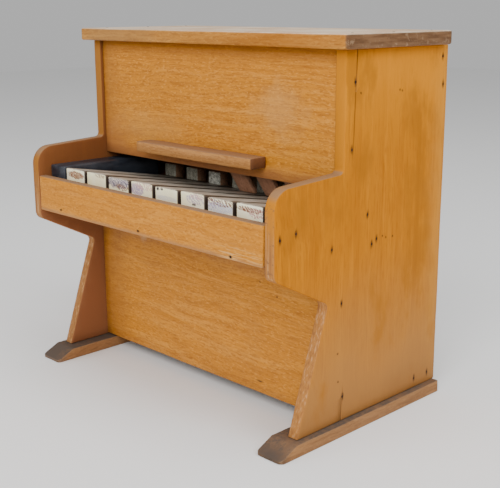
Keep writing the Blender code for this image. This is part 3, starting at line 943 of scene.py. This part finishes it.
# %% [markdown]
# Nail heads repeat, so Geometry Nodes make them: the tree takes a cloud of points, each
# with the direction that its head faces, sets a flattened dome on every point, turns and
# sizes each one a little differently, and ends as plain faces with a rusty finish.

# %% Rusty iron


def rusty_iron():
    material, tree, shader, place = new_material("nail_rust", 0.85)
    flakes = cloud(tree, place, 1500.0, 4.0, 0.65)
    colour = mixed(tree, between(tree, flakes, 0.4, 0.65), (0.016, 0.010, 0.008),
                   (0.060, 0.024, 0.012))
    tree.links.new(between(tree, flakes, 0.4, 0.7, 0.0, 0.3), shader.inputs["Metallic"])
    shader.inputs["Specular IOR Level"].default_value = 0.15
    plug_in(tree, shader, colour, flakes, 0.5)
    return material


RUST_IRON = rusty_iron()
print("rusty iron ready")

# %% Nail head tree


def make_nail_tree():
    tree = bpy.data.node_groups.new("nail_heads", "GeometryNodeTree")
    face = tree.interface
    face.new_socket(name="Points", in_out="INPUT", socket_type="NodeSocketGeometry")
    for label, value in (("Head Radius", 0.0010), ("Crown", 0.22), ("Uneven", 0.18)):
        face.new_socket(name=label, in_out="INPUT",
                        socket_type="NodeSocketFloat").default_value = value
    face.new_socket(name="Seed", in_out="INPUT",
                    socket_type="NodeSocketInt").default_value = 4
    face.new_socket(name="Finish", in_out="INPUT", socket_type="NodeSocketMaterial")
    face.new_socket(name="Heads", in_out="OUTPUT", socket_type="NodeSocketGeometry")
    given = put(tree, "NodeGroupInput").outputs
    out = put(tree, "NodeGroupOutput").inputs
    dome = put(tree, "GeometryNodeMeshUVSphere", {"Segments": 14, "Rings": 8,
               "Radius": given["Head Radius"]}).outputs["Mesh"]
    squash = put(tree, "ShaderNodeCombineXYZ", {"X": 1.0, "Y": 1.0,
                 "Z": given["Crown"]}).outputs[0]
    head = put(tree, "GeometryNodeTransform", {"Geometry": dome, "Scale": squash})
    way = put(tree, "GeometryNodeInputNamedAttribute", {"Name": "facing"},
              data_type="FLOAT_VECTOR").outputs["Attribute"]
    turn = put(tree, "FunctionNodeAlignRotationToVector", {"Vector": way}, axis="Z")
    least = flipped(tree, given["Uneven"])
    most = plus(tree, 1.0, given["Uneven"])
    size = put(tree, "FunctionNodeRandomValue", {2: least, 3: most, "Seed": given["Seed"]},
               data_type="FLOAT").outputs[1]
    set_on = put(tree, "GeometryNodeInstanceOnPoints", {"Points": given["Points"],
                 "Instance": head.outputs[0], "Rotation": turn.outputs[0], "Scale": size})
    real = put(tree, "GeometryNodeRealizeInstances", {0: set_on.outputs[0]})
    done = put(tree, "GeometryNodeSetMaterial", {"Geometry": real.outputs[0],
               "Material": given["Finish"]})
    tree.links.new(done.outputs[0], out["Heads"])
    return tree


NAIL_TREE = make_nail_tree()
print("nail tree:", len(NAIL_TREE.nodes), "nodes")

# %% Nails in place


def nail_piece(name, nails, radius, seed):
    """One mesh with a head on every (place, direction) of nails, riding on the case."""
    cloud_mesh = bpy.data.meshes.new(name + "_points")
    cloud_mesh.from_pydata([place for place, way in nails], [], [])
    ways = cloud_mesh.attributes.new("facing", "FLOAT_VECTOR", "POINT")
    ways.data.foreach_set("vector", [v for place, way in nails for v in way])
    carrier = add_object(name + "_carrier", cloud_mesh)
    modifier = carrier.modifiers.new("heads", "NODES")
    modifier.node_group = NAIL_TREE
    sockets = {item.name: item.identifier for item in NAIL_TREE.interface.items_tree}
    modifier[sockets["Head Radius"]] = radius
    modifier[sockets["Seed"]] = seed
    modifier[sockets["Finish"]] = RUST_IRON
    seen = carrier.evaluated_get(bpy.context.evaluated_depsgraph_get())
    mesh = bpy.data.meshes.new_from_object(seen)
    bpy.data.objects.remove(carrier)
    mesh.shade_smooth()
    piece = add_object(name, mesh)
    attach(piece, "case")
    return piece


LID_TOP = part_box("lid")[1][2]
BACK_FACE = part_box("back_board")[1][1]
LID_NAIL_X = 0.1162
LID_NAIL_ROWS = (-0.012, 0.026, 0.064)
BACK_NAIL_COLUMNS = (-0.104, -0.062, -0.021, 0.021, 0.062, 0.104)
BACK_NAIL_HEIGHTS = (0.0150, 0.2172)
side_heads = [(place, RIGHTWARDS) for place in RIGHT_NAILS]
side_heads += [(place, LEFTWARDS) for place in LEFT_NAILS]
rail_heads = [((x, RAIL_FRONT, z), FORWARD) for x, z in RAIL_NAILS]
lid_heads = [((side * LID_NAIL_X, y, LID_TOP), UP) for side in (-1, 1) for y in LID_NAIL_ROWS]
back_heads = [((x, BACK_FACE, z), (0.0, 1.0, 0.0))
              for z in BACK_NAIL_HEIGHTS for x in BACK_NAIL_COLUMNS]
nail_piece("case_nails", side_heads + rail_heads + lid_heads, 0.0008, 4)
nail_piece("back_nails", back_heads, 0.0014, 9)
print(len(side_heads + rail_heads + lid_heads + back_heads), "nail heads")

# %% [markdown]
# ## Keys and painted blocks
#
# The keys are wood under thick cream paint.  The tops are grey with finger dirt, the
# edges have lost their paint, and children have drawn on the fronts with crayon.  Each
# front gets its own smudges: bands warped into loose strokes, or plain washes, broken up
# by noise, in that key's colours.  The sides of the keys are dark bare wood and also carry
# painted shade of the narrow gaps between keys, and the long edges of each top are
# darkened as painted shade of those gaps.

# %% Cream paint


def front_mask(tree):
    """1 on faces that look towards the player, 0 elsewhere."""
    return between(tree, axis_of(tree, face_normal(tree), "Y"), -0.6, -0.9)


def crayon(tree, paper, front, place, middle, size, colour, stroke, strength):
    """Lay a smudge on the front: loose strokes inside a ragged oval, or a plain wash."""
    mask = between(tree, oval(tree, place, middle, size, 0.7, 320.0), 0.15, 0.45)
    if stroke:
        wave = put(tree, "ShaderNodeTexWave", {"Vector": place, "Scale": stroke,
                   "Distortion": 9.0, "Detail": 2.0, "Detail Scale": 1.3},
                   wave_type="BANDS", bands_direction="DIAGONAL").outputs["Fac"]
        mask = times(tree, mask, between(tree, wave, 0.22, 0.50))
    wax = between(tree, cloud(tree, place, 1300.0, 2.0), 0.30, 0.50)
    mask = times(tree, times(tree, mask, wax), strength)
    return laid(tree, paper, colour, mask, front)


def key_paint(number, smudges):
    material, tree, shader, place = new_material("key_paint_%d" % number)
    low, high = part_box("key_%d" % number)
    shifted = put(tree, "ShaderNodeMapping", {"Vector": place,
                  "Location": (number * 0.31, number * 0.17, number * 0.23)}).outputs[0]
    front = front_mask(tree)
    tone = between(tree, cloud(tree, shifted, 90.0, 4.0), 0.3, 0.7)
    cream = mixed(tree, tone, (0.93, 0.87, 0.54), (0.97, 0.93, 0.70))
    half_wide, half_tall = (high[0] - low[0]) / 2, (high[2] - FRONT_FOOT) / 2
    for across, up, wide, tall, colour, stroke, strength in smudges:
        middle = (low[0] + half_wide * (1.0 + across), low[1],
                  FRONT_FOOT + half_tall * (1.0 + up))
        size = (half_wide * wide, 0.05, half_tall * tall)
        cream = crayon(tree, cream, front, place, middle, size, colour, stroke, strength)
    streak = cloud(tree, stretched(tree, shifted, (1.0, 0.06, 1.0)), 520.0, 4.0, 0.6)
    grey = mixed(tree, between(tree, streak, 0.35, 0.65), (0.46, 0.41, 0.35),
                 (0.20, 0.165, 0.13))
    # Painted shade of the gaps between keys: the long edges of each top are darkened.
    across = minus(tree, axis_of(tree, place, "X"), (low[0] + high[0]) / 2)
    rim = between(tree, maths(tree, "ABSOLUTE", across), half_wide - 0.0034,
                  half_wide - 0.0020)
    grey = laid(tree, grey, (0.022, 0.016, 0.013), rim, 0.97)
    colour = laid(tree, cream, grey, flipped(tree, front), 0.95)
    # The sides are dark: bare wood, and painted shade of the narrow gaps between keys.
    for side in (RIGHTWARDS, LEFTWARDS):
        colour = tint_face(tree, colour, (0.035, 0.022, 0.015), 0.95, side)
    wear = use_group(tree, EDGE_WEAR, {"Place": shifted, "Reach": 0.0013, "Amount": 0.95,
                     "Patch Size": 150.0}).outputs["Mask"]
    colour = mixed(tree, wear, colour, (0.22, 0.125, 0.07))
    chip = between(tree, cloud(tree, shifted, 520.0, 3.0, 0.6), 0.70, 0.74)
    colour = mixed(tree, chip, colour, (0.16, 0.09, 0.05))
    tree.links.new(plus(tree, times(tree, wear, 0.3), 0.45, clamp=True),
                   shader.inputs["Roughness"])
    relief = minus(tree, times(tree, tone, 0.3), plus(tree, wear, chip))
    plug_in(tree, shader, colour, relief, 0.4)
    return material


# Each smudge: across and up (-1 to 1 on the face), width, height, colour, stroke, strength.
FRONT_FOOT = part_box("key_rail")[1][2] - 0.0012
RUST, VIOLET, BLUE = (0.17, 0.050, 0.020), (0.075, 0.055, 0.13), (0.33, 0.38, 0.68)
TAN = (0.52, 0.26, 0.12)
PINK, INK, LILAC = (0.55, 0.26, 0.25), (0.03, 0.02, 0.03), (0.36, 0.26, 0.42)
SMUDGES = [
    [(0.1, 0.0, 1.0, 0.75, TAN, 0.0, 0.85), (0.05, 0.0, 1.1, 0.85, RUST, 250.0, 1.0)],
    [(0.55, 0.75, 0.9, 0.5, RUST, 200.0, 0.7), (0.2, 0.2, 0.9, 0.7, PINK, 0.0, 0.12)],
    [(0.0, 0.2, 1.5, 1.2, LILAC, 0.0, 0.60), (0.0, 0.25, 1.5, 1.1, VIOLET, 260.0, 1.0),
     (0.4, -0.5, 0.8, 0.7, RUST, 220.0, 0.9)],
    [(-0.5, -0.2, 0.9, 1.2, LILAC, 0.0, 0.55), (-0.4, -0.2, 0.8, 1.1, LILAC, 170.0, 0.8),
     (0.3, 0.5, 1.2, 0.9, PINK, 230.0, 0.8)],
    [(-0.72, 0.60, 0.20, 0.30, INK, 0.0, 1.0), (-0.38, 0.66, 0.16, 0.26, INK, 0.0, 1.0),
     (0.0, -0.7, 1.2, 0.5, BLUE, 0.0, 0.35)],
    [(0.3, 0.1, 1.05, 1.0, LILAC, 0.0, 0.15), (0.3, 0.1, 1.05, 1.0, LILAC, 190.0, 0.7),
     (0.5, 0.6, 0.9, 0.5, PINK, 260.0, 0.7), (0.15, -0.75, 0.22, 0.26, INK, 0.0, 0.9)],
    [(0.0, -0.4, 1.4, 1.0, BLUE, 0.0, 0.55), (-0.5, 0.1, 0.7, 0.9, LILAC, 180.0, 0.8),
     (0.15, 0.55, 1.5, 0.9, RUST, 250.0, 0.9)],
    [(0.1, 0.25, 1.2, 0.55, TAN, 0.0, 0.55), (0.55, -0.1, 0.8, 1.0, PINK, 240.0, 0.9),
     (-0.1, 0.28, 1.2, 0.55, RUST, 260.0, 1.0)],
]
LEANS = (0.002, -0.005, 0.005, -0.003, 0.005, -0.006, 0.003, -0.004)
for number in range(KEY_COUNT):
    paint = key_paint(number + 1, SMUDGES[number])
    worn_piece("key_%d" % (number + 1), "_lever", paint, 0.005, 0.0005, 0.00005,
               seed=20 + number, lean=LEANS[number])
print(KEY_COUNT, "keys painted")

# %% Black blocks


def black_paint():
    material, tree, shader, place = new_material("block_black")
    rub = cloud(tree, stretched(tree, place, (1.0, 0.3, 1.0)), 160.0, 5.0)
    rub = between(tree, rub, 0.35, 0.75)
    colour = mixed(tree, rub, (0.010, 0.013, 0.020), (0.035, 0.042, 0.055))
    wear = use_group(tree, EDGE_WEAR, {"Place": place, "Reach": 0.0012, "Amount": 0.6,
                     "Patch Size": 120.0}).outputs["Mask"]
    colour = mixed(tree, wear, colour, (0.12, 0.09, 0.07))
    tree.links.new(plus(tree, times(tree, rub, 0.25), 0.38), shader.inputs["Roughness"])
    plug_in(tree, shader, colour, rub, 0.2)
    return material


BLACK = black_paint()
for node in ("left_key_block", "right_key_block"):
    worn_piece(node, "_painted", BLACK, seed=31)
print("2 black blocks")

# %% [markdown]
# ## The action and the inside
#
# Hammers, rails and battens are plain brown wood that never saw varnish.  The tail
# weights are mottled grey where they look forward and brown on their other faces, and the
# tone bars are ground steel with a brushed look.

# %% Inner wood, weights, felt and steel
BRIGHT_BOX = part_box("tail_weight_3")
BRIGHT_X = (BRIGHT_BOX[0][0] + BRIGHT_BOX[1][0]) / 2


def mottled_weight():
    material, tree, shader, place = new_material("weight_grey", 0.75)
    cloudy = between(tree, cloud(tree, place, 420.0, 5.0, 0.65), 0.35, 0.65)
    speck = between(tree, cloud(tree, place, 900.0, 3.0), 0.58, 0.66)
    bare = cloud(tree, stretched(tree, place, (1.0, 1.0, 0.15)), 700.0, 3.0)
    brown = mixed(tree, bare, (0.24, 0.120, 0.062), (0.46, 0.25, 0.14))
    clean = oval(tree, place, (BRIGHT_X, 0.0, 0.1), (0.015, 1.0, 1.0), 0.1)
    dull = mixed(tree, cloudy, (0.24, 0.235, 0.18), (0.46, 0.445, 0.35))
    fresh = mixed(tree, cloudy, (0.34, 0.34, 0.28), (0.84, 0.84, 0.74))
    grey = mixed(tree, clean, dull, fresh)
    colour = mixed(tree, facing(tree, FORWARD), brown, grey)
    colour = mixed(tree, speck, colour, (0.06, 0.05, 0.04))
    plug_in(tree, shader, colour, cloudy, 0.4)
    return material


def pressed_felt():
    material, tree, shader, place = new_material("felt_red", 0.95)
    fuzz = cloud(tree, place, 1800.0, 4.0, 0.7)
    colour = mixed(tree, fuzz, (0.16, 0.02, 0.02), (0.42, 0.09, 0.07))
    shader.inputs["Sheen Weight"].default_value = 0.4
    plug_in(tree, shader, colour, fuzz, 0.8, 0.0003)
    return material


def brushed_metal(name, along, tint):
    material, tree, shader, place = new_material(name, 0.35, 1.0)
    squeeze = tuple(0.04 if axis == along else 1.0 for axis in "xyz")
    lines = cloud(tree, stretched(tree, place, squeeze), 1400.0, 3.0, 0.6)
    stain = between(tree, cloud(tree, place, 70.0, 4.0), 0.45, 0.75)
    colour = mixed(tree, lines, tuple(c * 0.75 for c in tint), tint)
    colour = laid(tree, colour, (0.24, 0.16, 0.10), stain, 0.5)
    tree.links.new(plus(tree, times(tree, lines, 0.25), 0.22), shader.inputs["Roughness"])
    plug_in(tree, shader, colour, lines, 0.15, 0.0001)
    return material


RAW_X = wood("raw_wood_x", "x", **RAW, figure=0.3, streaks=0.6, flecks=0.25, wear=0.4,
             worn=(0.45, 0.33, 0.20), overall=0.25, roughness=0.7, coat=0.0)
HAMMER_WOOD = wood("hammer_wood", "z", pale=(0.60, 0.32, 0.20), body=(0.46, 0.23, 0.135),
                   dark=(0.25, 0.115, 0.065), figure=0.2, streaks=0.5, flecks=0.2, wear=0.4,
                   worn=(0.34, 0.22, 0.14), overall=0.15, roughness=0.65, coat=0.0)
WEIGHT = mottled_weight()
FELT = pressed_felt()
ROD_STEEL = brushed_metal("rod_steel", "x", (0.55, 0.54, 0.52))
BAR_STEEL = brushed_metal("tone_bar_steel", "y", (0.62, 0.62, 0.61))

STRIPS = ("top_batten", "bottom_batten", "balance_rail", "key_stop_rail", "tail_rest_rail",
          "front_bar_rail", "rear_bar_rail")
INNER_BOARDS = [("key_bed", "_board", 0.010), ("back_board", "_sheet", 0.010)]
INNER_BOARDS += [(node, "_strip", 0.008) for node in STRIPS]
for number, (node, ending, spacing) in enumerate(INNER_BOARDS):
    worn_piece(node, ending, RAW_X, spacing, 0.0003, seed=40 + number)
for node in ("key_stop_felt", "front_bar_felt", "rear_bar_felt"):
    worn_piece(node, "_strip", FELT, 0.004, 0.0, 0.0001, seed=60)
for node in ("key_rod", "hammer_rod"):
    worn_piece(node, "_wire", ROD_STEEL, 0.0, 0.0, 0.0)
for number in range(1, KEY_COUNT + 1):
    worn_piece("hammer_%d" % number, "_arm", HAMMER_WOOD, 0.004, 0.0003,
               seed=70 + number)
    worn_piece("tail_weight_%d" % number, "_block", WEIGHT, 0.003, 0.0005,
               seed=80 + number)
    worn_piece("tone_bar_%d" % number, "_plate", BAR_STEEL, 0.0, 0.0, 0.0)
print(len(INNER_BOARDS), "inner boards,", 3 * KEY_COUNT, "action pieces")
